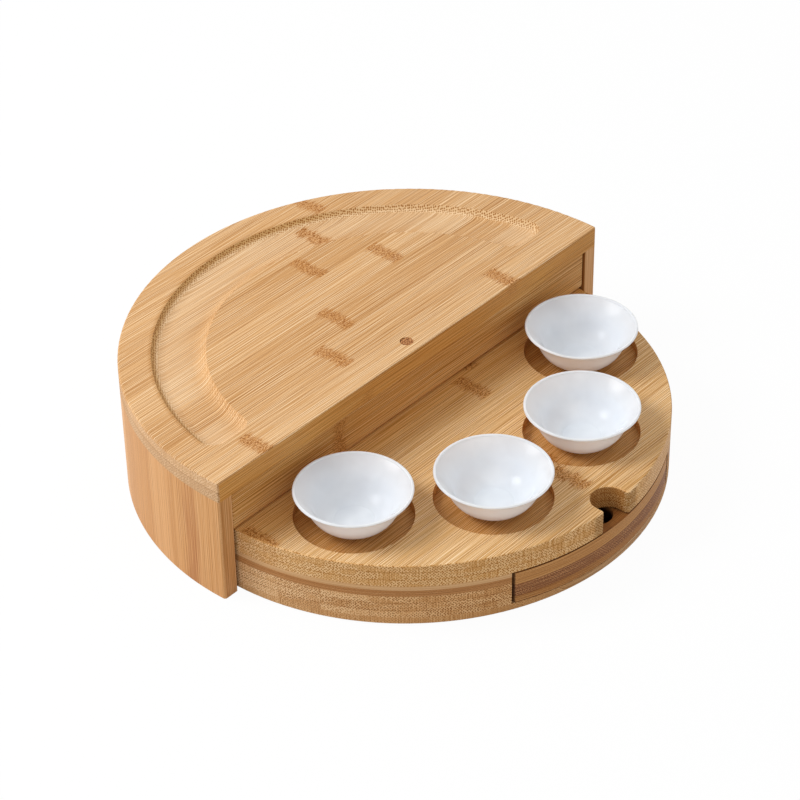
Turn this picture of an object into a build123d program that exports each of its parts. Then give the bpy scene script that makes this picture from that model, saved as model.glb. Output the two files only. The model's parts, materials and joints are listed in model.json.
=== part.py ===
from build123d import *
import math
import os

os.makedirs("parts", exist_ok=True)

# Housing: a half round lid on a curved wall that stands on the table.
# Every plan size is measured from the pivot, the centre of all the curves.
lid_radius = 165.0
front_overhang = 9.4
overall_height = 80.7
lid_thickness = 13.1
wall_thickness = 10.0
housing_corner_round = 1.6
lid_edge_round = 1.0
wall_inner_edge_round = 0.8
stave_count = 25
staves_per_dowel = 5
lid_dowel_diameter = 6.0
lid_dowel_length = 22.0
lid_dowel_depth_in_lid = 8.0

# Serving groove routed in the lid with a round nosed cutter
groove_rim_width = 18.9
groove_width = 31.5
groove_front_setback = 13.4
groove_depth = 4.0
groove_cove_radius = 10.0
groove_corner_round = 9.5

# Revolving tray: top board, side layers, rear block and base sheet
tray_wall_gap = 2.0
tray_top_height = 41.2
tray_top_thickness = 14.3
light_ply_share = 0.1324
dark_ply_share = 0.1918
base_sheet_thickness = 4.2
glide_thickness = 0.8
glide_diameter = 14.0
glide_setback = 32.0
glide_angles = (15.0, 60.0, 120.0, 165.0)
tray_edge_round = 0.8
tray_corner_round = 2.0
rear_block_depth = 25.0

# Finger notch in the rim of the tray top
notch_radius = 10.7
notch_setback = 5.9
notch_lip_round = 2.0

# Partition that turns with the tray and closes the front of the housing
partition_thickness = 16.6
partition_wall_gap = 0.7
partition_lid_gap = 0.8
partition_foot_round = 3.0
partition_top_round = 1.0
partition_end_round = 1.2
partition_dowel_diameter = 6.0
partition_dowel_tray_share = 0.63
partition_dowel_panel_share = 0.5
partition_dowel_spacing_share = 0.2
partition_dowel_pairs = 2

# Pivot: a steel bolt under a wooden plug, running in the lid and held in the partition
plug_diameter = 8.0
plug_thickness = 4.0
plug_sink = 0.4
plug_edge_chamfer = 0.3
bolt_head_height = 3.0
bolt_head_edge_round = 0.6
bolt_head_clearance = 0.3
bolt_shank_diameter = 5.0
bolt_running_clearance = 0.05
bolt_tip_chamfer = 0.6
insert_diameter = 8.0
insert_share = 0.55
washer_diameter = 14.0
washer_thickness = 0.6

# Drawer in the tray, behind a curved front of three plies
bay_width = 141.2
drawer_front_side_gap = 1.9
drawer_run_clearance = 0.3
drawer_top_clearance = 1.0
drawer_front_end_depth = 9.4
drawer_lower_ply_share = 0.218
drawer_dark_ply_share = 0.3886
drawer_front_edge_round = 2.0
drawer_rear_clearance = 2.0
drawer_side_thickness = 6.0
drawer_back_thickness = 6.0
drawer_floor_thickness = 3.0
scoop_radius = 10.4
scoop_rail = 5.0

# Porcelain bowls, each standing in a round recess, as large as the tray and the lid allow
bowl_rim_share = 0.2183
bowl_height_share = 0.7577
bowl_foot_share = 0.419
bowl_foot_height = 1.2
bowl_wall = 2.8
bowl_foot_width = 2.6
bowl_foot_recess = 0.8
bowl_belly_share = 0.638
bowl_belly_height_share = 0.243
bowl_neck_share = 0.7695
bowl_neck_height_share = 0.5263
bowl_lip_thickness = 1.9
bowl_floor_thickness = 3.5
bowl_well_share = 0.33
bowl_inner_belly_share = 0.584
bowl_inner_belly_height_share = 0.332
recess_margin = 0.3
recess_depth = 6.2
outer_bowl_rim_width = 7.3
outer_bowl_angle = 25.7
inner_bowl_rim_width = 14.6
inner_bowl_angle = 67.9

# One overrun serves every cut that has to pass through a face
cut_overrun = 1.0

# Heights and radii that follow from the sizes above
wall_height = overall_height - lid_thickness
wall_inner_radius = lid_radius - wall_thickness
groove_outer_radius = lid_radius - groove_rim_width
groove_inner_radius = groove_outer_radius - groove_width
tray_radius = wall_inner_radius - tray_wall_gap
tray_board_floor = tray_top_height - tray_top_thickness
bay_floor = glide_thickness + base_sheet_thickness
bay_height = tray_board_floor - bay_floor
light_ply_floor = tray_board_floor - light_ply_share * bay_height
dark_ply_floor = light_ply_floor - dark_ply_share * bay_height
tray_rear = partition_thickness / 2
rear_block_front = tray_rear - rear_block_depth
partition_top = wall_height - partition_lid_gap
partition_height = partition_top - tray_top_height
partition_dowel_bottom = tray_top_height - partition_dowel_tray_share * tray_top_thickness
partition_dowel_top = tray_top_height + partition_dowel_panel_share * partition_height
drawer_bottom = bay_floor + drawer_run_clearance
drawer_front_top = tray_board_floor - drawer_top_clearance
drawer_front_height = drawer_front_top - drawer_bottom
drawer_lower_ply_top = drawer_bottom + drawer_lower_ply_share * drawer_front_height
drawer_dark_ply_top = drawer_lower_ply_top + drawer_dark_ply_share * drawer_front_height
drawer_front_width = bay_width - 2 * drawer_front_side_gap
drawer_front_inner = drawer_front_end_depth - math.sqrt(tray_radius**2 - (drawer_front_width / 2) ** 2)
drawer_box_width = bay_width - 2 * drawer_run_clearance
drawer_back_face = rear_block_front - drawer_rear_clearance
drawer_floor_top = drawer_bottom + drawer_floor_thickness
bolt_head_diameter = plug_diameter - 2 * bolt_head_clearance
bolt_seat = overall_height - plug_sink - plug_thickness - bolt_head_clearance - bolt_head_height
insert_bottom = partition_top - insert_share * partition_height
bowl_floor = tray_top_height - recess_depth
bowl_rim_radius = bowl_rim_share * tray_radius
bowl_height = bowl_height_share * (wall_height - bowl_floor)
recess_radius = bowl_rim_radius + recess_margin
outer_bowl_distance = tray_radius - outer_bowl_rim_width - recess_radius
inner_bowl_distance = tray_radius - inner_bowl_rim_width - recess_radius

# The part's origin is under the middle of its overall length and width
pivot_offset = (tray_radius - lid_radius) / 2

def half_plane(radius, beyond, side):
    """Rectangle over the part of a disc on one side of the pivot, and a little beyond the pivot."""
    depth = radius + beyond + cut_overrun
    return Pos(0, side * (depth / 2 - beyond)) * Rectangle(2 * (radius + cut_overrun), depth)


def half_round(radius, beyond, side, inner_radius=0):
    """Half disc or half ring about the pivot, with its seam on the side that is cut away."""
    disc = Rot(0, 0, -90 * side) * Circle(radius)
    if inner_radius:
        disc -= Rot(0, 0, -90 * side) * Circle(inner_radius)
    return disc & half_plane(radius, beyond, side)


def plate(outline, bottom, top):
    """Outline lifted to one height and extruded up to another."""
    return extrude(Pos(0, 0, bottom) * outline, top - bottom)


def hole(diameter, bottom, top, x=0, y=0):
    """Round cutter between two heights."""
    return Pos(x, y, (bottom + top) / 2) * Cylinder(diameter / 2, top - bottom)


def round_top_edges(solid, radius):
    """Ease the outline of the highest face."""
    return fillet(solid.faces().sort_by(Axis.Z)[-1].edges(), radius)


def polar_places(radius, angles):
    """Points at a radius about the pivot."""
    return [(radius * math.cos(math.radians(a)), radius * math.sin(math.radians(a))) for a in angles]


def bowl_places():
    """Middles of the bowls by name, in mirrored pairs along the rim of the tray."""
    outer = polar_places(outer_bowl_distance, [-outer_bowl_angle])[0]
    inner = polar_places(inner_bowl_distance, [-inner_bowl_angle])[0]
    places = {}
    for side, name in ((-1, "left"), (1, "right")):
        places[f"bowl_{name}_outer"] = (side * outer[0], outer[1])
        places[f"bowl_{name}_inner"] = (side * inner[0], inner[1])
    return places


def stave_sector():
    """Angle where the curved wall starts and the angle that one of its equal staves takes."""
    beyond = math.degrees(math.asin(front_overhang / lid_radius))
    return -beyond, (180 + 2 * beyond) / stave_count


def lid_dowel_places():
    """The dowels stand in the middle of every few staves of the curved wall."""
    start, step = stave_sector()
    staves = range(staves_per_dowel // 2, stave_count, staves_per_dowel)
    angles = [start + step * (stave + 0.5) for stave in staves]
    return polar_places(lid_radius - wall_thickness / 2, angles)


def partition_dowel_places():
    """Dowels in pairs to both sides of the pivot, evenly spaced along the partition."""
    steps = [side * (i + 1) for i in range(partition_dowel_pairs) for side in (-1, 1)]
    spacing = partition_dowel_spacing_share * 2 * tray_radius
    return [(step * spacing, 0) for step in steps]


def groove_cutter():
    """Half ring with round corners and a flat floor that curves up into its walls."""
    rise = groove_cove_radius - groove_depth
    flare = groove_cove_radius - math.sqrt(groove_cove_radius**2 - rise**2)
    outline = half_round(
        groove_outer_radius + flare, flare - groove_front_setback, 1, groove_inner_radius - flare
    )
    outline = fillet(outline.vertices(), groove_corner_round + flare)
    floor = overall_height - groove_depth
    cutter = plate(outline, floor, floor + groove_cove_radius + cut_overrun)
    return fillet(cutter.faces().sort_by(Axis.Z)[0].edges(), groove_cove_radius)


def lid_board():
    """Thick half round board with the serving groove, the pivot hole and blind dowel holes below."""
    outline = half_round(lid_radius, front_overhang, 1)
    outline = fillet(outline.vertices().sort_by(Axis.Y)[:2], housing_corner_round)
    board = round_top_edges(plate(outline, wall_height, overall_height), lid_edge_round)
    board -= groove_cutter()
    board -= hole(plug_diameter, bolt_seat, overall_height + cut_overrun)
    bore = bolt_shank_diameter + 2 * bolt_running_clearance
    board -= hole(bore, wall_height - cut_overrun, bolt_seat + cut_overrun)
    for x, y in lid_dowel_places():
        top = wall_height + lid_dowel_depth_in_lid
        board -= hole(lid_dowel_diameter, wall_height - cut_overrun, top, x, y)
    return board


def wedge(start, end):
    """Sector of the plan between two angles, wide enough to cut the curved wall."""
    corners = polar_places(2 * lid_radius, [start, end])
    return Polygon((0, 0), *corners, align=None)


def side_wall():
    """Half ring of upright staves whose two ends show at the front as narrow posts."""
    outline = half_round(lid_radius, front_overhang, 1, wall_inner_radius)
    ends = outline.vertices().sort_by(Axis.Y)[:4].sort_by(Axis.X)
    outline = fillet([ends[0], ends[3]], housing_corner_round)
    ends = outline.vertices().sort_by(Axis.Y)[:4].sort_by(Axis.X)
    outline = fillet([ends[1], ends[2]], wall_inner_edge_round)
    wall = plate(outline, 0, wall_height)
    for x, y in lid_dowel_places():
        bottom = wall_height + lid_dowel_depth_in_lid - lid_dowel_length
        wall -= hole(lid_dowel_diameter, bottom, wall_height + cut_overrun, x, y)
    start, step = stave_sector()
    joints = [start + step * i for i in range(1, stave_count)]
    edges = [start - step] + joints + [joints[-1] + 2 * step]
    return [wall & plate(wedge(*pair), 0, wall_height) for pair in zip(edges, edges[1:])]


def lid_dowels():
    """Dowels that join the lid to the wall."""
    top = wall_height + lid_dowel_depth_in_lid
    return [hole(lid_dowel_diameter, top - lid_dowel_length, top, x, y) for x, y in lid_dowel_places()]


def pivot_plug():
    """Wooden plug that hides the bolt head, a little below the top of the lid."""
    top = overall_height - plug_sink
    plug = hole(plug_diameter, top - plug_thickness, top)
    return chamfer(plug.faces().sort_by(Axis.Z)[-1].edges(), plug_edge_chamfer)


def pivot_bolt():
    """Headed bolt that runs in the lid and ends in the insert of the partition."""
    seat = bolt_seat + bolt_running_clearance
    head = round_top_edges(hole(bolt_head_diameter, seat, seat + bolt_head_height), bolt_head_edge_round)
    shank = hole(bolt_shank_diameter, insert_bottom, seat)
    shank = chamfer(shank.faces().sort_by(Axis.Z)[0].edges(), bolt_tip_chamfer)
    return head + shank


def pivot_insert():
    """Sleeve in the top edge of the partition that holds the bolt."""
    sleeve = hole(insert_diameter, insert_bottom, partition_top)
    return sleeve - hole(bolt_shank_diameter, insert_bottom - cut_overrun, partition_top + cut_overrun)


def pivot_washer():
    """Thin washer on the partition that keeps it off the lid."""
    top = partition_top + washer_thickness
    ring = hole(washer_diameter, partition_top, top)
    return ring - hole(bolt_shank_diameter, partition_top - cut_overrun, top + cut_overrun)


def partition_panel():
    """Upright board through the pivot, with a well rounded foot and eased ends."""
    half_depth = partition_thickness / 2
    swing_radius = wall_inner_radius - partition_wall_gap - partition_end_round
    end_centre = math.sqrt(swing_radius**2 - (half_depth - partition_end_round) ** 2)
    length = 2 * (end_centre + partition_end_round)
    section = Pos(0, partition_height / 2) * Rectangle(partition_thickness, partition_height)
    section = fillet(section.vertices().sort_by(Axis.Y)[:2], partition_foot_round)
    section = fillet(section.vertices().sort_by(Axis.Y)[-2:], partition_top_round)
    frame = Plane(origin=(-length / 2, 0, tray_top_height), x_dir=(0, 1, 0), z_dir=(1, 0, 0))
    panel = extrude(frame * section, length)
    ends = panel.faces().sort_by(Axis.X)
    upright = (ends[0].edges() + ends[-1].edges()).filter_by(Axis.Z)
    panel = fillet(upright, partition_end_round)
    panel -= hole(insert_diameter, insert_bottom, partition_top + cut_overrun)
    for x, y in partition_dowel_places():
        bottom = tray_top_height - cut_overrun
        panel -= hole(partition_dowel_diameter, bottom, partition_dowel_top, x, y)
    return panel


def partition_dowels():
    """Dowels that join the partition to the tray top."""
    ends = (partition_dowel_bottom, partition_dowel_top)
    return [hole(partition_dowel_diameter, *ends, x, y) for x, y in partition_dowel_places()]


def tray_outline():
    """Half disc that reaches back to the far face of the partition."""
    outline = half_round(tray_radius, tray_rear, -1)
    return fillet(outline.vertices().sort_by(Axis.Y)[-2:], tray_corner_round)


def notch_outline():
    """Round ended slot open at the rim, with lips that turn outward."""
    centre = notch_setback - tray_radius
    slot = Pos(0, centre) * Circle(notch_radius)
    slot += Pos(0, centre - notch_radius) * Rectangle(2 * notch_radius, 2 * notch_radius)
    return slot


def tray_top_board():
    """Board that carries the bowls, with four recesses and the finger notch."""
    outline = tray_outline() - notch_outline()
    lips = outline.vertices().sort_by(Axis.Y)[:2]
    outline = fillet(lips, notch_lip_round)
    board = round_top_edges(plate(outline, tray_board_floor, tray_top_height), tray_edge_round)
    for x, y in bowl_places().values():
        board -= hole(2 * recess_radius, bowl_floor, tray_top_height + cut_overrun, x, y)
    for x, y in partition_dowel_places():
        top = tray_top_height + cut_overrun
        board -= hole(partition_dowel_diameter, partition_dowel_bottom, top, x, y)
    return board


def side_layer(side, bottom, top):
    """One layer of the tray between the drawer bay and the rim, on one side."""
    reach = tray_radius + cut_overrun
    middle = side * (bay_width / 2 + reach) / 2
    strip = Pos(middle, 0) * Rectangle(reach - bay_width / 2, 2 * reach)
    return plate(tray_outline() & strip, bottom, top)


def rear_block():
    """Block behind the drawer bay that ties the two sides together."""
    middle = (rear_block_front + tray_rear) / 2
    return plate(Pos(0, middle) * Rectangle(bay_width, rear_block_depth), bay_floor, tray_board_floor)


def base_sheet():
    """Thin sheet under the whole tray."""
    return plate(tray_outline(), glide_thickness, bay_floor)


def tray_glides():
    """Thin discs under the tray that slide on the table."""
    places = polar_places(tray_radius - glide_setback, [-angle for angle in glide_angles])
    return [hole(glide_diameter, 0, glide_thickness, x, y) for x, y in places]


def drawer_front_outline():
    """Curved block that follows the rim of the tray, flat on the inside."""
    depth = tray_radius + drawer_front_inner + cut_overrun
    block = Pos(0, drawer_front_inner - depth / 2) * Rectangle(drawer_front_width, depth)
    outline = (Rot(0, 0, 90) * Circle(tray_radius)) & block
    return fillet(outline.vertices().sort_by(Axis.Y)[:2], drawer_front_edge_round)


def scoop_outline():
    """Finger scoop behind a narrow rail, open to the inside of the drawer."""
    centre = scoop_rail + scoop_radius - tray_radius
    depth = drawer_front_inner + cut_overrun - centre
    scoop = Pos(0, centre) * Circle(scoop_radius)
    return scoop + Pos(0, centre + depth / 2) * Rectangle(2 * scoop_radius, depth)


def drawer_front_ply(bottom, top, scooped=True):
    """One ply of the drawer front, with or without its share of the scoop."""
    outline = drawer_front_outline()
    if scooped:
        outline -= scoop_outline()
    return plate(outline, bottom, top)


def drawer_floor():
    """Thin sheet between the front and the back edge of the drawer."""
    length = drawer_back_face - drawer_front_inner
    middle = (drawer_back_face + drawer_front_inner) / 2
    return plate(Pos(0, middle) * Rectangle(drawer_box_width, length), drawer_bottom, drawer_floor_top)


def drawer_side(side):
    """Side of the drawer box, which also guides it in the bay."""
    length = drawer_back_face - drawer_front_inner
    middle = (drawer_back_face + drawer_front_inner) / 2
    across = side * (drawer_box_width - drawer_side_thickness) / 2
    strip = Pos(across, middle) * Rectangle(drawer_side_thickness, length)
    return plate(strip, drawer_floor_top, drawer_front_top)


def drawer_back():
    """Back of the drawer box, between its sides."""
    width = drawer_box_width - 2 * drawer_side_thickness
    middle = drawer_back_face - drawer_back_thickness / 2
    strip = Pos(0, middle) * Rectangle(width, drawer_back_thickness)
    return plate(strip, drawer_floor_top, drawer_front_top)


def bowl():
    """Round bowl with a low foot, whose side swells, draws in and flares out to a thin lip."""
    foot_radius = bowl_foot_share * bowl_rim_radius
    foot_inner = foot_radius - bowl_foot_width
    neck_radius = bowl_neck_share * bowl_rim_radius
    neck_height = bowl_neck_height_share * bowl_height
    lip_centre = bowl_height - bowl_lip_thickness / 2
    foot = Polyline(
        (0, bowl_floor_thickness),
        (0, bowl_foot_recess),
        (foot_inner, bowl_foot_recess),
        (foot_inner, 0),
        (foot_radius, 0),
        (foot_radius, bowl_foot_height),
    )
    bulge = (bowl_belly_share * bowl_rim_radius, bowl_belly_height_share * bowl_height)
    belly = ThreePointArc(foot @ 1, bulge, (neck_radius, neck_height))
    flare = TangentArc(belly @ 1, (bowl_rim_radius, lip_centre), tangent=belly % 1)
    lip = ThreePointArc(
        flare @ 1,
        (bowl_rim_radius - bowl_lip_thickness / 2, bowl_height),
        (bowl_rim_radius - bowl_lip_thickness, lip_centre),
    )
    well = Line((0, bowl_floor_thickness), (bowl_well_share * bowl_rim_radius, bowl_floor_thickness))
    hollow = (bowl_inner_belly_share * bowl_rim_radius, bowl_inner_belly_height_share * bowl_height)
    inner_belly = ThreePointArc(well @ 1, hollow, (neck_radius - bowl_wall, neck_height))
    inner_flare = TangentArc(inner_belly @ 1, lip @ 1, tangent=inner_belly % 1)
    profile = make_face(foot + belly + flare + lip + inner_flare + inner_belly + well)
    return revolve(Plane.XZ * profile, Axis.Z)


nodes = {
    "lid_board": [lid_board()],
    "side_wall": side_wall(),
    "lid_dowels": lid_dowels(),
    "pivot_plug": [pivot_plug()],
    "pivot_bolt": [pivot_bolt()],
    "pivot_insert": [pivot_insert()],
    "pivot_washer": [pivot_washer()],
    "partition_panel": [partition_panel()],
    "partition_dowels": partition_dowels(),
    "tray_top_board": [tray_top_board()],
    "tray_rear_block": [rear_block()],
    "tray_base_sheet": [base_sheet()],
    "tray_glides": tray_glides(),
    "drawer_front_upper_ply": [drawer_front_ply(drawer_dark_ply_top, drawer_front_top)],
    "drawer_front_dark_ply": [drawer_front_ply(drawer_lower_ply_top, drawer_dark_ply_top)],
    "drawer_front_lower_ply": [drawer_front_ply(drawer_bottom, drawer_lower_ply_top, scooped=False)],
    "drawer_floor": [drawer_floor()],
    "drawer_back": [drawer_back()],
}

for side, name in ((-1, "left"), (1, "right")):
    nodes[f"tray_{name}_core"] = [side_layer(side, bay_floor, dark_ply_floor)]
    nodes[f"tray_{name}_dark_ply"] = [side_layer(side, dark_ply_floor, light_ply_floor)]
    nodes[f"tray_{name}_light_ply"] = [side_layer(side, light_ply_floor, tray_board_floor)]
    nodes[f"drawer_{name}_side"] = [drawer_side(side)]

for name, (x, y) in bowl_places().items():
    nodes[name] = [Pos(x, y, bowl_floor) * bowl()]

for name, solids in nodes.items():
    placed = [Pos(0, pivot_offset, 0) * solid for solid in solids]
    shape = placed[0] if len(placed) == 1 else Compound(children=placed)
    export_step(shape, f"parts/{name}.step")
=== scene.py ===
import json
import math

import bpy
from mathutils import Euler, Matrix, Vector


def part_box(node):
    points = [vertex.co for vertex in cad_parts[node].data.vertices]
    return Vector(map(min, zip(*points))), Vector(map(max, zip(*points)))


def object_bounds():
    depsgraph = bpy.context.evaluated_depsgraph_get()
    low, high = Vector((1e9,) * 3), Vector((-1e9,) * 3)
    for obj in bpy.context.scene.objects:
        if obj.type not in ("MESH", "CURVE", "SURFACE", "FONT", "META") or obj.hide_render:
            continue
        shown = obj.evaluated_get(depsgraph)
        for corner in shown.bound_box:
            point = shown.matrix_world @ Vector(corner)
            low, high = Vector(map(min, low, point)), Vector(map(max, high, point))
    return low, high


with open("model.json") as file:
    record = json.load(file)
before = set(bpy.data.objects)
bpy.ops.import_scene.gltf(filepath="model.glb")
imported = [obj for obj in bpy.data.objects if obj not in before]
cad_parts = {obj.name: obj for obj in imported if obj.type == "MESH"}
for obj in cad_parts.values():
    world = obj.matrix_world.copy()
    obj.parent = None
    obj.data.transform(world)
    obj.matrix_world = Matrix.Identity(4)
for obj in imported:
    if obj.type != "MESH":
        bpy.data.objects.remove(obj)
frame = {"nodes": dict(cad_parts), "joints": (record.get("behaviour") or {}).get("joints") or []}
cad_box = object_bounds()

# The camera of the photograph: place in metres, angles in degrees, lens in millimetres
CAMERA_PLACE = (-0.9497, -0.8419, 0.9728)
CAMERA_AZIMUTH = -48.45
CAMERA_ELEVATION = 36.43
CAMERA_ROLL = -0.924
CAMERA_LENS = 121.84
CAMERA_SENSOR = 36.0

# Soft light from the left and behind, and plain light from all around
KEY_TOWARDS = (-0.48, 0.55, 0.75)
KEY_DISTANCE = 1.6
KEY_SIZE = 0.75
KEY_LEVEL = 0.45
FILL_LEVEL = 0.68
FLOOR_SIZE = 30.0
FLOOR_GAP = 0.0002
FLOOR_TONE = 0.9
FLOOR_BOUNCE = 0.65
FLOOR_OWN_WHITE = 0.96

# Bamboo strips of the boards, in millimetres from the pivot
STRIP = 24.1
LID_JOINT = 9.9
TRAY_JOINT = -11.0

# Node marks of the bamboo: their length, how soft their sides are, and for each one its place along
# the grain and its middle across it
MARK_LENGTH = 9.0
MARK_EDGE = 0.3
LID_MARKS = (
    (-126.1, -2.1), (85.1, -2.1), (-38.0, 22.0), (-9.1, 46.0), (61.2, 70.2),
    (19.3, 94.3), (50.8, 118.4), (71.3, 142.4),
)
LID_FRONT_MARKS = ((-44.6, 71.0), (84.0, 77.5))
TRAY_MARKS = ((-149.1, -23.1), (31.4, -23.0), (0.9, -119.4), (10.5, -95.3), (47.2, 1.0))
PANEL_MARKS = ((-67.8, 54.0),)

# Strips that are lighter or darker than the rest: middle across the grain and step of tone
LID_SHADES = ((-2.1, 0.05), (46.1, -0.06), (70.2, 0.08), (94.3, -0.06), (142.5, 0.02))
TRAY_SHADES = ((-47.2, -0.02), (-71.2, 0.02), (-119.5, 0.07), (-143.6, -0.1))

# Strip that stays dark where it crosses the groove: middle and share of the floor's tint it is spared
GROOVE_DARK_STRIP = ((46.1, 0.85),)

# Softness of these strips' edges, and the step of tone with which the tray darkens to the right, a
# painted shade
STRIP_EDGE = 0.1
TRAY_SHADE_PER_MM = -0.0004

# Length and width of the bands, lines and hairs of the grain and spacing of the fibre ends, in
# millimetres. Each strip shows another stretch of the same fibres, up to FIBRE_SHIFT further on.
BAND_SIZE = (330, 4.5)
LINE_SIZE = (140, 0.95)
HAIR_SIZE = (40, 0.55)
DOT_PITCH = 1.88
FIBRE_SHIFT = 900

# Start and width of a strip or layer that holds a whole piece, and how far the outer layers of a
# glued piece reach past its faces
WHOLE = (-500.0, 1000.0)
SEAM_MARGIN = 0.6

# How far a surface faces one way, from where a look begins to where it is full
END_FACING = (0.08, 0.45)
CROSS_FACING = (0.3, 0.8)
SIDE_FACING = (0.85, 0.97)
FLAT_FACING = (0.6, 0.9)
UPRIGHT_FACING = (0.7, 0.3)
CURVED_FACING = (0.985, 0.85)
UP_FACING = (0.3, 0.5)

# Places on the lid where a look begins and is full, as distances from the pivot in millimetres
LID_OUTSIDE = (150, 152)
GROOVE_FROM = (112, 134)
# Where the painted shade along the groove's outer edge lies, and where it fades to the right
LIP_FROM = (145.5, 146)
LIP_TO = (148.6, 146.4)
LIP_BACK = (14, 30)
GROOVE_RIGHT = (50, 105)

# The same for depths under the lid's top
GROOVE_FLOOR_DEPTH = (0.3, 1.5)
# Depths over which the painted shade on the groove's outer wall fades
GROOVE_WALL_DEPTH = (3.7, 1.4)

# Step of tone on the groove's floor, and shares of the lid's tints: the groove's own tint, painted
# shade along the groove's edge and painted light on the rim's sides
GROOVE_STEP = 0.07
GROOVE_SHARE = 0.16
LIP_SHARE = 0.55
LID_END_LIGHT_SHARE = 0.14

# The same for the tray's top board, with the places of its painted shade and of the painted light on
# its rim's right
TRAY_OUTSIDE = (150.5, 152)
TRAY_INSIDE = (150.5, 149)
NOTCH_HALF_WIDTH = (20, 17)
NOTCH_BACK = (-125, -130)
CORNER_FRONT = (-42, -14)
RECESS_DEPTH = (0.3, 1.2)
RIM_RIGHT = (10, 50)
RIM_RIGHT_LIGHT_SHARE = 0.3

# Partition: thickness of its layers and height over which its foot is lighter, a painted light for
# the light the tray throws on it
PANEL_LAYER = 5.6
PANEL_FOOT = (56, 44)
PANEL_FOOT_LIGHT_STEP = 0.15

# Curved wall: angle of a stave in degrees, and the front of its inner face, which carries a painted
# shade
STAVE_ANGLE = 7.4616
WALL_FRONT = (34, 12)

# Red streak of the curved wall: place around the rim and half its width
WALL_STREAK = (-244.5, 5.5)

# Finger scoop of the drawer front and the front's ends, in millimetres from the pivot, where a
# painted shadow lies
SCOOP_PLACE = -137.6
SCOOP_RADIUS = 10.4
SCOOP_DEPTH = (0.2, 5)
DRAWER_ENDS = (60, 66)
DRAWER_END_SHARE = 0.75

# Radius on which lengths around the rim are measured
RIM_RADIUS = 155

# Finish of the wood: specular level and depth of its bump in millimetres
WOOD_SPECULAR = 0.14
WOOD_BUMP = 0.05

# Size of the glaze's clouds and dapples in millimetres
GLAZE_CLOUD = 18
GLAZE_DAPPLE = 7

PIVOT = Vector(next(j["pos_m"] for j in frame["joints"] if j["name"] == "tray_swivel"))


def linear(red, green, blue):
    """Colour of a picture, 0 to 255, as Blender's linear one."""
    parts = [c / 255 for c in (red, green, blue)]
    return tuple(c / 12.92 if c < 0.04045 else ((c + 0.055) / 1.055) ** 2.4 for c in parts) + (1.0,)


class Wire:
    """Output of a node that adds, subtracts and multiplies like a number."""

    def __init__(self, graph, socket):
        self.graph = graph
        self.socket = socket

    def __add__(self, other):
        return self.graph.math("ADD", self, other)

    def __sub__(self, other):
        return self.graph.math("SUBTRACT", self, other)

    def __rsub__(self, other):
        return self.graph.math("SUBTRACT", other, self)

    def __mul__(self, other):
        return self.graph.math("MULTIPLY", self, other)

    def __truediv__(self, other):
        return self.graph.math("DIVIDE", self, other)

    def __abs__(self):
        return self.graph.math("ABSOLUTE", self)

    __radd__ = __add__
    __rmul__ = __mul__


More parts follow.
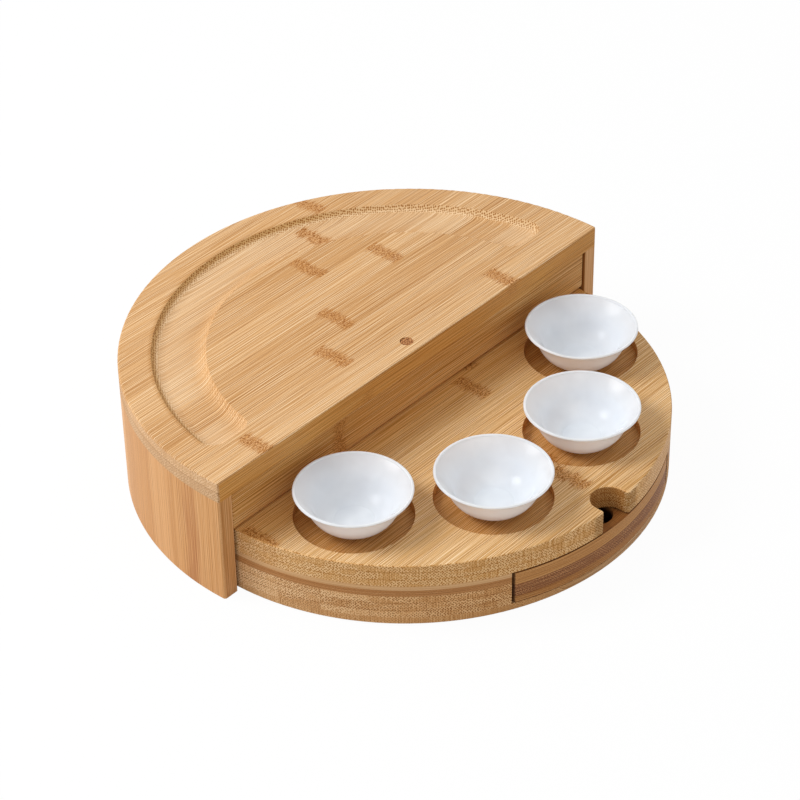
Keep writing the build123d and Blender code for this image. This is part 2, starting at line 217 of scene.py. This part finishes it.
class Graph:
    """The nodes of one material, with short calls to add to them."""

    def __init__(self, name):
        self.material = bpy.data.materials.new(name)
        self.material.use_nodes = True
        self.nodes = self.material.node_tree.nodes
        self.links = self.material.node_tree.links
        self.shader = self.nodes["Principled BSDF"]
        self.coordinates = self.nodes.new("ShaderNodeTexCoord")

    def feed(self, socket, value):
        """Link a wire to a socket, or set the socket's own value."""
        if isinstance(value, Wire):
            self.links.new(value.socket, socket)
        else:
            socket.default_value = value

    def math(self, operation, *values):
        """Result of a Math node."""
        node = self.nodes.new("ShaderNodeMath")
        node.operation = operation
        for socket, value in zip(node.inputs, values):
            self.feed(socket, value)
        return Wire(self, node.outputs[0])

    def split(self, socket):
        """The three parts of a vector."""
        node = self.nodes.new("ShaderNodeSeparateXYZ")
        self.links.new(socket, node.inputs[0])
        return [Wire(self, output) for output in node.outputs]

    def place(self):
        """Millimetres from the pivot, along X, along Y and up."""
        x, y, z = self.split(self.coordinates.outputs["Object"])
        return x * 1000, (y - PIVOT.y) * 1000, z * 1000

    def normal(self):
        """Parts of the surface's direction along X, Y and Z."""
        return self.split(self.coordinates.outputs["Normal"])

    def texture(self, kind, vector, **settings):
        """Noise, flat Voronoi or white noise at a place given by three wires or numbers."""
        join = self.nodes.new("ShaderNodeCombineXYZ")
        for socket, value in zip(join.inputs, vector):
            self.feed(socket, value)
        node = self.nodes.new("ShaderNodeTex" + kind)
        if kind == "Voronoi":
            node.voronoi_dimensions = "2D"
        for name, value in settings.items():
            node.inputs[name].default_value = value
        self.links.new(join.outputs[0], node.inputs["Vector"])
        outputs = {"Noise": "Fac", "Voronoi": "Distance", "WhiteNoise": "Value"}
        return Wire(self, node.outputs[outputs[kind]])

    def noise(self, vector, detail=2.0, rough=0.5):
        """Noise with features of about one unit, around 0."""
        return self.texture("Noise", vector, Scale=1.0, Detail=detail, Roughness=rough) - 0.5

    def smooth(self, value, start, end, low=0.0, high=1.0):
        """Smooth step from low to high between two values."""
        node = self.nodes.new("ShaderNodeMapRange")
        node.interpolation_type = "SMOOTHSTEP"
        for socket, number in zip(node.inputs, (value, start, end, low, high)):
            self.feed(socket, number)
        return Wire(self, node.outputs[0])

    def ramp(self, value, stops):
        """Colour that runs through stops of place and colour."""
        node = self.nodes.new("ShaderNodeValToRGB")
        for _ in stops[2:]:
            node.color_ramp.elements.new(0.5)
        for element, (place, colour) in zip(node.color_ramp.elements, stops):
            element.position = place
            element.color = linear(*colour)
        self.feed(node.inputs[0], value)
        return Wire(self, node.outputs[0])

    def mix(self, share, first, second, blend="MIX"):
        """Mix of two colours."""
        node = self.nodes.new("ShaderNodeMix")
        node.data_type = "RGBA"
        node.blend_type = blend
        colours = [socket for socket in node.inputs if socket.type == "RGBA"]
        self.feed(node.inputs[0], share)
        self.feed(colours[0], first)
        self.feed(colours[1], second)
        output = next(socket for socket in node.outputs if socket.type == "RGBA")
        return Wire(self, output)

    def finish(self, colour, roughness, height=None, depth=0.0, **sockets):
        """Connect the shader, with a bump of a depth in millimetres."""
        self.feed(self.shader.inputs["Base Color"], colour)
        self.feed(self.shader.inputs["Roughness"], roughness)
        for name, value in sockets.items():
            self.feed(self.shader.inputs[name.replace("_", " ")], value)
        if height is not None:
            bump = self.nodes.new("ShaderNodeBump")
            bump.inputs["Distance"].default_value = depth / 1000
            self.feed(bump.inputs["Height"], height)
            self.links.new(bump.outputs[0], self.shader.inputs["Normal"])
        return self.material


# Tones of the bamboo from dark streak to light streak, as they look in plain light
TONE_PLACES = (0.08, 0.36, 0.60, 0.92)
WALL_TONE_PLACES = (0.10, 0.36, 0.60, 0.90)


def tone_row(*colours, places=TONE_PLACES):
    """Stops of a ramp, one for each colour."""
    return tuple(zip(places, colours))


BOARD_TONES = tone_row((164, 112, 60), (196, 146, 92), (216, 170, 117), (238, 206, 164))
TRAY_TONES = tone_row((168, 116, 58), (202, 154, 93), (222, 178, 121), (243, 212, 169))
SIDE_TONES = tone_row((150, 89, 33), (190, 125, 56), (206, 145, 72), (221, 169, 100))
PANEL_TONES = tone_row((162, 104, 44), (204, 146, 78), (222, 170, 104), (238, 200, 144))
WALL_TONES = tone_row(
    (176, 119, 66), (204, 147, 90), (219, 165, 110), (234, 188, 138), places=WALL_TONE_PLACES
)
CORE_TONES = tone_row((152, 104, 60), (198, 151, 101), (217, 173, 124), (240, 206, 164))
LIGHT_TONES = tone_row((182, 134, 86), (210, 163, 113), (223, 181, 132), (237, 202, 158))
DARK_TONES = tone_row((134, 87, 45), (172, 118, 68), (190, 136, 84), (212, 165, 113))
DRAWER_TONES = tone_row((130, 82, 40), (172, 115, 62), (190, 134, 77), (214, 164, 106))
BROWN_TONES = tone_row((82, 50, 30), (132, 85, 52), (162, 110, 70), (204, 154, 110))

# Colours mixed into the bamboo: its marks, streaks and the groove's tint, a painted shadow on the
# drawer front, and painted light on the rims
MARK_TONE = linear(150, 92, 36)
GLOW_TONE = linear(204, 142, 76)
SHADOW_TONE = linear(46, 26, 16)
RED_TONE = linear(170, 106, 62)
GROOVE_TONE = linear(226, 203, 172)
LID_END_LIGHT_TONE = linear(255, 230, 196)
RIM_RIGHT_LIGHT_TONE = linear(250, 208, 168)

# Colours that the bamboo's own is multiplied by: tints of its end grain and lower ply, and painted
# shade in the recesses, on the notch walls, on the drawer's top, on the groove's wall, on the wall's
# inside and in the corner
END_SHADE = linear(246, 230, 205)
LID_END_SHADE = linear(243, 237, 234)
LOWER_SHADE = linear(240, 237, 234)
RECESS_SHADE = linear(238, 220, 192)
NOTCH_SHADE = linear(216, 212, 204)
RAIL_SHADE = linear(214, 204, 190)
COVE_SHADE = linear(220, 203, 169)
COVE_RIGHT_SHADE = linear(238, 231, 219)
INNER_SHADE = linear(200, 186, 160)
CORNER_SHADE = linear(246, 230, 198)


def layers_of(node, count):
    """Start and thickness of a node's equal layers, a little wider so that no seam lies on a face."""
    low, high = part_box(node)
    return low.z * 1000 - SEAM_MARGIN, ((high.z - low.z) * 1000 + 2 * SEAM_MARGIN) / count


def strip_of(g, across, joint, pitch):
    """Number of the strip at a place across the grain, and the distance to its nearest glue joint."""
    strips = (across - joint) / pitch
    number = g.math("FLOOR", strips)
    share = strips - number
    return number, (0.5 - abs(share - 0.5)) * pitch


def node_marks(g, along, across, half_width, depth, marks):
    """Shares of the glow and of the dark flecks where the canes had their nodes."""
    fringe = g.noise((across / 1.1, depth / 3, 7.0)) * 14 + g.noise((across / 6, depth / 6, 3.0)) * 6
    flecks = g.noise((along / 1.3, across / 0.6, depth / 3))
    marked = 0.0
    for place, middle in marks:
        reach = g.smooth(abs(along + fringe - place), MARK_LENGTH / 2 + 2, MARK_LENGTH / 2 - 2)
        width = g.smooth(abs(across - middle), half_width + MARK_EDGE, half_width - MARK_EDGE)
        marked = g.math("MAXIMUM", marked, reach * width)
    return marked * 0.5, marked * g.smooth(flecks, -0.05, 0.08)


def draw_marks(g, colour, marks, share):
    """Colour with node marks drawn on it."""
    glow, flecks = marks
    colour = g.mix(glow * share, colour, GLOW_TONE)
    return g.mix(flecks * share, colour, MARK_TONE)


def around_rim(g, x, y):
    """Length around the rim from the middle of the front."""
    return g.math("ARCTAN2", x, 0 - y) * RIM_RADIUS


def strip_shade(g, across, shades):
    """Step of tone of the lighter and darker strips."""
    outside, inside = STRIP / 2 + STRIP_EDGE, STRIP / 2 - STRIP_EDGE
    return sum(g.smooth(abs(across - middle), outside, inside) * step for middle, step in shades)


def distance(g, x, y):
    """Distance of a place from the pivot's axis."""
    return g.math("SQRT", x * x + y * y)


def bamboo(g, along, across, through, tones, seed, strips, layers, bundle=None, **looks):
    """Colour, height and roughness of glued bamboo strips, with long fibres and dotted fibre ends.

    Looks: ends and sides are the shares of end grain and of strips seen from their side, shade is a
    step of tone, pale and pale_tone are the share and colour of a tint over the ends. The others say
    how strongly fibres (streak), differences of strips (wild), glue joints (edge), patches without
    fibre ends (patchy), fibre ends (dots) and differences of strips at their ends (blocks) show.
    """
    ends, sides, shade = (looks.get(name, 0.0) for name in ("ends", "sides", "shade"))
    streak, wild, edge = looks.get("streak", 1.0), looks.get("wild", 0.3), looks.get("edge", 0.12)
    pale = looks.get("pale", ends)
    pale_tone = looks.get("pale_tone", END_SHADE)
    strip, joint = strip_of(g, across, *strips)
    layer, seam = strip_of(g, through, *layers)
    luck = g.texture("WhiteNoise", (strip, layer, seed))
    run = along + luck * FIBRE_SHIFT
    beside = across + (through - across) * sides
    bands = g.noise((run / BAND_SIZE[0], beside / BAND_SIZE[1], luck * 40))
    lines = g.noise((run / LINE_SIZE[0], beside / LINE_SIZE[1], luck * 70), 2.0, 0.7)
    length, width = HAIR_SIZE
    hair, beyond = (
        g.noise((run / length, beside / width + step, luck * 90), 1.0) for step in (0.0, 0.5)
    )
    hairs = hair - beyond
    tone = 0.5 + (bands * 0.3 + lines * 0.9 + hairs * 2.3) * streak + (luck - 0.5) * wild + shade
    tone = tone - g.smooth(lines, -0.12, -0.22) * 0.08 * streak
    u, v = bundle or (across, through)
    diagonal = ((u + v) / DOT_PITCH, (u - v) / DOT_PITCH, 0.0)
    dots = g.texture("Voronoi", diagonal, Scale=1.0, Randomness=0.45)
    patch = 1 - g.smooth(g.noise((u / 16, v / 4.5, seed)), 0.06, -0.1) * looks.get("patchy", 0.6)
    speckle = (g.smooth(dots, 0.15, 0.5) - 0.5) * patch * looks.get("dots", 1.0)
    blocks = (luck - 0.5) * looks.get("blocks", 0.0)
    tone = tone * (1 - ends * 0.6) + (blocks + 0.3 + speckle) * ends
    face = g.math("MAXIMUM", ends, sides)
    tone = tone - g.smooth(joint, 0.3, 0.05) * edge - g.smooth(seam, 0.4, 0.1) * face * 0.35
    colour = g.ramp(tone, tones)
    colour = g.mix(pale * 0.9, colour, pale_tone, "MULTIPLY")
    height = hairs * 0.4 + lines * 0.3 + speckle * ends * 0.5
    roughness = 0.5 + hairs * 0.25 + ends * 0.12
    return colour, height, roughness


def timber(g, colour, height, roughness):
    """Satin oiled surface."""
    return g.finish(colour, roughness, height, WOOD_BUMP, Specular_IOR_Level=WOOD_SPECULAR)


def board(name, tones, seed, joint, layers, **looks):
    """Flat stock with the grain along X."""
    g = Graph(name)
    x, y, z = g.place()
    nx, ny, _ = g.normal()
    ends = g.smooth(abs(nx), *END_FACING)
    sides = g.smooth(abs(ny), *SIDE_FACING)
    # Painted light: the end grain's tint is eased where the face turns straight to the side, so it
    # shows paler
    looks.update(ends=ends, sides=sides, pale=ends - g.smooth(abs(nx), 0.75, 1.0) * 0.5)
    bundle = (around_rim(g, x, y), z)
    grain = bamboo(g, x, y, z, tones, seed, (joint, STRIP), layers, bundle, **looks)
    return timber(g, *grain)


def lid(name):
    """Grooved board with a warmer front, and dotted where the groove's walls curve up, with painted
    shade along the groove's outer edge and painted light on the rim where it faces sideways.
    """
    g = Graph(name)
    x, y, z = g.place()
    nx, ny, nz = g.normal()
    radius = distance(g, x, y)
    low, step = layers_of("lid_board", 2)
    depth = low + 2 * step - SEAM_MARGIN - z
    edge = g.smooth(radius, *LID_OUTSIDE)
    inside = g.smooth(radius, *reversed(LID_OUTSIDE))
    upward = g.smooth(nz, *UP_FACING)

    cove = g.smooth(nz, *CURVED_FACING) * upward * inside
    outward = (nx * x + ny * y) / radius
    outer = cove * g.smooth(outward, -0.05, -0.25)
    rim = g.smooth(abs(nx), *END_FACING) * edge * g.smooth(nz, 0.8, 0.4)
    ends = g.math("MAXIMUM", rim, cove * 0.25 + outer * 0.75)
    sides = g.smooth(abs(ny), *SIDE_FACING)
    groove = g.smooth(depth, *GROOVE_FLOOR_DEPTH) * g.smooth(radius, *GROOVE_FROM)
    groove = groove * (1 - edge) * upward * (1 - strip_shade(g, y, GROOVE_DARK_STRIP))

    looks = {"ends": ends, "sides": sides, "wild": 0.06, "patchy": 0.6 - cove * 0.6}
    looks["shade"] = strip_shade(g, y, LID_SHADES) + groove * GROOVE_STEP
    looks.update(pale=rim, pale_tone=LID_END_SHADE, streak=1 - outer * 0.6, dots=1 - rim * 0.45)
    bundle = (x + (around_rim(g, x, y) - x) * edge, y + (z - y) * edge)
    strips, layers = (LID_JOINT, STRIP), (low, step)
    colour, *relief = bamboo(g, x, y, z, BOARD_TONES, 1.0, strips, layers, bundle, **looks)
    warm, _, _ = bamboo(g, x, z, y, SIDE_TONES, 6.0, layers, WHOLE)
    colour = g.mix(sides * g.smooth(ny, 0.0, -0.5), colour, warm)

    # Painted shade on the top along the groove's outer edge and on the upper part of the groove's
    # outer wall, fainter to the right
    lip = g.smooth(radius, *LIP_TO) * g.smooth(radius, *LIP_FROM)
    lip = lip * g.smooth(nz, 0.9, 0.97) * g.smooth(y, *LIP_BACK)
    right = g.smooth(x, *GROOVE_RIGHT)
    wall = outer * g.smooth(depth, *GROOVE_WALL_DEPTH)
    shaded = g.math("MAXIMUM", wall, lip * (1 - right) * LIP_SHARE)
    colour = g.mix(shaded, colour, g.mix(right, COVE_SHADE, COVE_RIGHT_SHADE), "MULTIPLY")
    colour = g.mix(groove * GROOVE_SHARE * (1 - wall), colour, GROOVE_TONE)
    lower = g.smooth(z, low + step + 0.2, low + step - 0.2)
    colour = g.mix(lower * ends, colour, LOWER_SHADE, "MULTIPLY")
    # Painted light: the rim is paler where it faces sideways
    colour = g.mix(rim * g.smooth(abs(nx), 0.7, 0.95) * LID_END_LIGHT_SHARE, colour, LID_END_LIGHT_TONE)
    colour = draw_marks(g, colour, node_marks(g, x, y, STRIP / 2, z, LID_MARKS), 1 - sides)
    colour = draw_marks(g, colour, node_marks(g, x, z, step / 2, y, LID_FRONT_MARKS), sides * 0.4)
    return timber(g, colour, *relief)


def tray_top(name):
    """Board with painted shade in its recesses, on its notch walls and in the corner at the
    partition, and painted light on the right of its rim.
    """
    g = Graph(name)
    x, y, z = g.place()
    nx, ny, nz = g.normal()
    radius = distance(g, x, y)
    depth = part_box("tray_top_board")[1].z * 1000 - z
    upright = g.smooth(abs(nz), *UPRIGHT_FACING)

    rim = g.smooth(radius, *TRAY_OUTSIDE) * upright
    notch = g.smooth(abs(x), *NOTCH_HALF_WIDTH) * g.smooth(y, *NOTCH_BACK) * upright
    ends = g.math("MAXIMUM", g.math("MAXIMUM", g.smooth(abs(nx), *END_FACING), rim), notch)
    sides = g.smooth(abs(ny), *SIDE_FACING) * (1 - ends)

    looks = {"ends": ends, "sides": sides, "wild": 0.06}
    # Painted shade: the tray's top darkens towards the right
    looks["shade"] = (strip_shade(g, y, TRAY_SHADES) + x * TRAY_SHADE_PER_MM) * (1 - ends)
    # Painted light: the end grain's tint is eased where the face turns straight to the side, so it
    # shows paler
    looks["pale"] = ends - g.smooth(abs(nx), 0.75, 1.0) * 0.3
    strips, layers = (TRAY_JOINT, STRIP), layers_of("tray_top_board", 3)
    bundle = (around_rim(g, x, y) + radius, z)
    colour, *relief = bamboo(g, x, y, z, TRAY_TONES, 2.0, strips, layers, bundle, **looks)

    # Painted shade in the corner where the tray meets the partition
    corner = g.smooth(y, *CORNER_FRONT) * g.smooth(nz, *FLAT_FACING)
    colour = g.mix(corner, colour, CORNER_SHADE, "MULTIPLY")
    # Painted shade on the notch walls
    colour = g.mix(notch, colour, NOTCH_SHADE, "MULTIPLY")
    # Painted light: the rim turns paler towards the right
    right = rim * (1 - notch) * g.smooth(x, *RIM_RIGHT)
    colour = g.mix(right * RIM_RIGHT_LIGHT_SHARE, colour, RIM_RIGHT_LIGHT_TONE)
    marks = node_marks(g, x, y, STRIP / 2, z, TRAY_MARKS)
    colour = draw_marks(g, colour, marks, (1 - sides) * (1 - ends * 0.75))
    # Painted shade on the recess floors where the bowls stand
    recess = g.smooth(depth, *RECESS_DEPTH) * g.smooth(radius, *TRAY_INSIDE)
    colour = g.mix(recess, colour, RECESS_SHADE, "MULTIPLY")
    return timber(g, colour, *relief)


def panel(name):
    """Upright partition with the grain along X."""
    g = Graph(name)
    x, y, z = g.place()
    low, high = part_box("partition_panel")
    middle = (low.z + high.z) / 2 * 1000
    strips, layers = (middle - STRIP / 2, STRIP), (0.0, PANEL_LAYER)
    nx, _, nz = g.normal()
    looks = {"ends": g.smooth(abs(nx), 0.2, 0.8), "sides": g.smooth(abs(nz), *SIDE_FACING)}
    # Painted light: the partition's foot is lighter
    looks["shade"] = g.smooth(z, *PANEL_FOOT) * PANEL_FOOT_LIGHT_STEP
    colour, *relief = bamboo(g, x, z, y, PANEL_TONES, 5.0, strips, layers, **looks)
    colour = draw_marks(g, colour, node_marks(g, x, z, STRIP / 2, y, PANEL_MARKS), 0.9)
    return timber(g, colour, *relief)


def staves(name):
    """Curved wall of upright staves, with one red streak and a painted shade on the front of its
    inside.
    """
    g = Graph(name)
    x, y, z = g.place()
    nx, ny, nz = g.normal()
    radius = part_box("side_wall")[1].x * 1000
    around = g.math("ARCTAN2", x, y) * radius
    across = distance(g, x, y)
    pitch = math.radians(STAVE_ANGLE) * radius
    sides = g.smooth(abs(nx * y - ny * x) / across, 0.5, 0.9)
    looks = {"ends": g.smooth(abs(nz), *CROSS_FACING), "sides": sides, "streak": 0.7}
    strips = (pitch / 2, pitch)
    colour, *relief = bamboo(g, z, around, across, WALL_TONES, 3.0, strips, WHOLE, **looks)

    middle, half = WALL_STREAK
    wander = g.noise((around / 9, z / 45, 2.0)) * 12
    red = g.smooth(abs(around + wander - middle), half + 2.5, half - 3)
    strands = g.smooth(g.noise((around, z / 60, 4.0)), -0.12, 0.12, 0.25, 0.9)
    colour = g.mix(red * strands * g.smooth(z, 75, 15, 0.35, 0.9), colour, RED_TONE)
    # Painted shade on the inner face near the front
    inner = g.smooth((nx * x + ny * y) / across, -0.3, -0.8) * g.smooth(y, *WALL_FRONT)
    colour = g.mix(inner, colour, INNER_SHADE, "MULTIPLY")
    return timber(g, colour, *relief)


def ply(name, node, tones, seed, **looks):
    """Bent layer whose fibres run around the rim."""
    g = Graph(name)
    x, y, z = g.place()
    nx, _, nz = g.normal()
    across = distance(g, x, y)
    around = around_rim(g, x, y)
    low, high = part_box(node)
    strips, bundle = (low.z * 1000, (high.z - low.z) * 1000), (around, z)
    looks["sides"] = g.smooth(abs(nz), *FLAT_FACING)
    colour, *relief = bamboo(g, around, z, across, tones, seed, strips, WHOLE, bundle, **looks)
    if node.startswith("drawer"):
        colour = paint_front_shade(g, colour, (x, y, z), (nx, nz))
    return timber(g, colour, *relief)


def paint_front_shade(g, colour, place, facing):
    """Colour of the drawer front with painted shade: darker on top, and a painted shadow in its
    finger scoop and at its ends.
    """
    x, y, z = place
    nx, nz = facing
    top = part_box("drawer_front_upper_ply")[1].z * 1000
    beyond = g.math("MINIMUM", y - SCOOP_PLACE, 0.0)
    reach = distance(g, x, beyond)
    scoop = g.smooth(reach, SCOOP_RADIUS + 0.3, SCOOP_RADIUS + 0.05) * g.smooth(top - z, *SCOOP_DEPTH)
    shadow = g.math("MAXIMUM", g.smooth(nx, 0.1, -0.4), g.smooth(nz, 0.5, 0.8))
    ends = g.smooth(abs(nx), 0.8, 0.98) * g.smooth(abs(x), *DRAWER_ENDS)
    # Painted shade: the front's top faces are darker
    colour = g.mix(g.smooth(nz, *FLAT_FACING), colour, RAIL_SHADE, "MULTIPLY")
    # Painted shadow: the scoop's walls and the front's ends turn nearly black
    colour = g.mix(scoop * shadow, colour, SHADOW_TONE)
    return g.mix(ends * DRAWER_END_SHARE, colour, SHADOW_TONE)


def rails(name):
    """Drawer sides with the grain along Y."""
    g = Graph(name)
    x, y, z = g.place()
    _, ny, nz = g.normal()
    looks = {"ends": g.smooth(abs(ny), *CROSS_FACING), "sides": g.smooth(abs(nz), *SIDE_FACING)}
    return timber(g, *bamboo(g, y, z, x, BOARD_TONES, 20.0, WHOLE, WHOLE, **looks))


def plug(name):
    """Sunken end of a dowel."""
    g = Graph(name)
    x, y, z = g.place()
    ends = g.smooth(abs(g.normal()[2]), *CROSS_FACING)
    return timber(g, *bamboo(g, z, x, y, BROWN_TONES, 9.0, WHOLE, WHOLE, ends=ends))


def porcelain(name):
    """White glaze, cool inside and warmer outside, with a faint unevenness. The outside's paler,
    warmer colour is painted light, and the inside's tone turns with the way it faces as painted light
    and shade.
    """
    g = Graph(name)
    x, y, z = g.place()
    cloud = g.noise((x / GLAZE_CLOUD, y / GLAZE_CLOUD, z / GLAZE_CLOUD))
    nx, ny, nz = g.normal()
    # Painted light and shade: the inside is lighter where the lamp leaves it in shade and darker
    # where it lights it
    painted_light_and_shade = g.smooth(nx - ny, -0.85, 0.85, 0.2, 0.8)
    inside = g.ramp(cloud + painted_light_and_shade, ((0.2, (222, 228, 236)), (0.8, (241, 247, 254))))
    # Painted light: the outside is paler, as it sits in shade
    outside = g.ramp(cloud + 0.5, ((0.3, (249, 246, 243)), (0.7, (251, 248, 246))))
    colour = g.mix(g.smooth(nz, 0.1, -0.15), inside, outside)
    dapple = g.noise((x / GLAZE_DAPPLE, y / GLAZE_DAPPLE, z / GLAZE_DAPPLE), 1.0)
    looks = {"Specular_IOR_Level": 0.16, "Subsurface_Weight": 0.6, "Subsurface_Scale": 0.008}
    looks["Subsurface_Radius"] = (1.0, 1.0, 1.0)
    return g.finish(colour, 0.22 + cloud * 0.05, dapple, 0.02, **looks)


def metal(name, light, dark, rough):
    """Turned metal with fine rings of tone."""
    g = Graph(name)
    x, y, z = g.place()
    turned = g.texture("Noise", (x / 2, y / 2, z / 0.15), Scale=1.0, Detail=3.0)
    tone = g.ramp(turned, ((0.3, dark), (0.7, light)))
    return g.finish(tone, rough + (turned - 0.5) * 0.2, turned, 0.01, Metallic=1.0)


def felt(name):
    """Matt slip pad."""
    g = Graph(name)
    x, y, z = g.place()
    nap = g.texture("Noise", (x / 0.5, y / 0.5, z / 0.5), Scale=1.0, Detail=3.0)
    tone = g.ramp(nap, ((0.3, (178, 170, 156)), (0.7, (206, 199, 186))))
    return g.finish(tone, 0.85, nap, 0.05, Specular_IOR_Level=0.2)


def paint(material, *nodes):
    """Give CAD nodes a material in every slot."""
    for node in nodes:
        slots = frame["nodes"][node].material_slots
        for slot in slots:
            slot.material = material
        if not slots:
            frame["nodes"][node].data.materials.append(material)


paint(lid("lid_bamboo"), "lid_board")
paint(tray_top("tray_bamboo"), "tray_top_board")
paint(panel("panel_bamboo"), "partition_panel")
paint(staves("wall_bamboo"), "side_wall")
for side in ("left", "right"):
    light, dark, core = (f"tray_{side}_{part}" for part in ("light_ply", "dark_ply", "core"))
    looks = {"streak": 0.5, "ends": 0.1, "edge": 0.4}
    paint(ply(f"{side}_light_bamboo", light, LIGHT_TONES, 11.0, **looks), light)
    paint(ply(f"{side}_dark_bamboo", dark, DARK_TONES, 12.0, streak=0.5, ends=0.2), dark)
    layers = layers_of(core, 3)
    paint(board(f"{side}_core_bamboo", CORE_TONES, 13.0, TRAY_JOINT, layers, blocks=0.25), core)
layers = layers_of("tray_rear_block", 4)
paint(board("block_bamboo", CORE_TONES, 14.0, TRAY_JOINT, layers, blocks=0.25), "tray_rear_block")
layers = layers_of("tray_base_sheet", 1)
paint(board("base_bamboo", CORE_TONES, 15.0, TRAY_JOINT, layers, dots=0.4), "tray_base_sheet")
for part, tones, seed, ends in (
    ("upper", DRAWER_TONES, 16.0, 0.2),
    ("dark", BROWN_TONES, 17.0, 0.5),
    ("lower", DRAWER_TONES, 18.0, 0.2),
):
    node = f"drawer_front_{part}_ply"
    paint(ply(f"drawer_{part}_bamboo", node, tones, seed, streak=0.8, ends=ends), node)
paint(board("drawer_box_bamboo", BOARD_TONES, 19.0, TRAY_JOINT, WHOLE), "drawer_floor", "drawer_back")
paint(rails("drawer_rail_bamboo"), "drawer_left_side", "drawer_right_side")
paint(plug("plug_wood"), "pivot_plug", "lid_dowels", "partition_dowels")
paint(metal("plated_steel", (205, 206, 208), (150, 151, 154), 0.32), "pivot_bolt", "pivot_washer")
paint(metal("turned_brass", (216, 182, 104), (168, 132, 62), 0.35), "pivot_insert")
paint(felt("slip_pad"), "tray_glides")
glaze = porcelain("white_glaze")
for side in ("left", "right"):
    paint(glaze, f"bowl_{side}_outer", f"bowl_{side}_inner")


def smooth_shading():
    """Round faces look round, and true edges stay crisp."""
    for node in frame["nodes"].values():
        if not node.data.has_custom_normals:
            node.data.shade_smooth()


def add_floor():
    """White floor that keeps a soft shadow of the object."""
    level = cad_box[0][2] - FLOOR_GAP
    half = FLOOR_SIZE / 2
    corners = [(x, y, level) for x, y in ((-half, -half), (half, -half), (half, half), (-half, half))]
    mesh = bpy.data.meshes.new("floor")
    mesh.from_pydata(corners, [], [(0, 1, 2, 3)])
    floor = bpy.data.objects.new("floor", mesh)
    bpy.context.scene.collection.objects.link(floor)
    g = Graph("floor_white")
    glow = g.nodes.new("ShaderNodeEmission")
    path = g.nodes.new("ShaderNodeLightPath")
    seen = Wire(g, path.outputs["Is Camera Ray"])
    for name in ("Is Glossy Ray", "Is Transmission Ray"):
        seen = g.math("MAXIMUM", seen, Wire(g, path.outputs[name]))
    bounced, shown = [(tone, tone, tone, 1.0) for tone in (FLOOR_BOUNCE, FLOOR_TONE)]
    g.finish(g.mix(seen, bounced, shown), 0.9, Specular_IOR_Level=0.0)
    blend = g.nodes.new("ShaderNodeMixShader")
    g.feed(blend.inputs[0], seen * FLOOR_OWN_WHITE)
    g.links.new(g.shader.outputs[0], blend.inputs[1])
    g.links.new(glow.outputs[0], blend.inputs[2])
    g.links.new(blend.outputs[0], g.nodes["Material Output"].inputs[0])
    mesh.materials.append(g.material)


def add_world():
    """Even light from all around, seen by the camera as white."""
    world = bpy.data.worlds.new("studio")
    bpy.context.scene.world = world
    world.use_nodes = True
    nodes = world.node_tree.nodes
    links = world.node_tree.links
    background = nodes["Background"]
    background.inputs["Color"].default_value = (1.0, 1.0, 1.0, 1.0)
    path = nodes.new("ShaderNodeLightPath")
    seen = path.outputs["Is Camera Ray"]
    for name in ("Is Glossy Ray", "Is Transmission Ray"):
        either = nodes.new("ShaderNodeMath")
        either.operation = "MAXIMUM"
        links.new(seen, either.inputs[0])
        links.new(path.outputs[name], either.inputs[1])
        seen = either.outputs[0]
    level = nodes.new("ShaderNodeMapRange")
    level.inputs["To Min"].default_value = FILL_LEVEL
    level.inputs["To Max"].default_value = 1.0
    links.new(seen, level.inputs["Value"])
    links.new(level.outputs[0], background.inputs["Strength"])


def add_key():
    """Large soft lamp. Its power gives a surface that faces up KEY_LEVEL times its own colour."""
    lamp = bpy.data.lights.new("key", "AREA")
    lamp.shape = "DISK"
    lamp.size = KEY_SIZE
    towards = Vector(KEY_TOWARDS).normalized()
    lamp.energy = KEY_LEVEL * math.pi**2 * KEY_DISTANCE**2 / towards.z
    key = bpy.data.objects.new("key", lamp)
    key.location = towards * KEY_DISTANCE
    key.rotation_euler = towards.to_track_quat("Z", "Y").to_euler()
    bpy.context.scene.collection.objects.link(key)


def add_camera():
    """Camera at the photograph's place and angle."""
    data = bpy.data.cameras.new("camera")
    data.lens = CAMERA_LENS
    data.sensor_width = CAMERA_SENSOR
    camera = bpy.data.objects.new("camera", data)
    turn = Euler((math.radians(90 - CAMERA_ELEVATION), 0, math.radians(CAMERA_AZIMUTH))).to_matrix()
    turn = turn @ Matrix.Rotation(math.radians(CAMERA_ROLL), 3, "Z")
    camera.matrix_world = Matrix.Translation(CAMERA_PLACE) @ turn.to_4x4()
    bpy.context.scene.collection.objects.link(camera)
    bpy.context.scene.camera = camera


smooth_shading()
add_floor()
add_world()
add_key()
add_camera()
bpy.context.scene.view_settings.view_transform = "Standard"
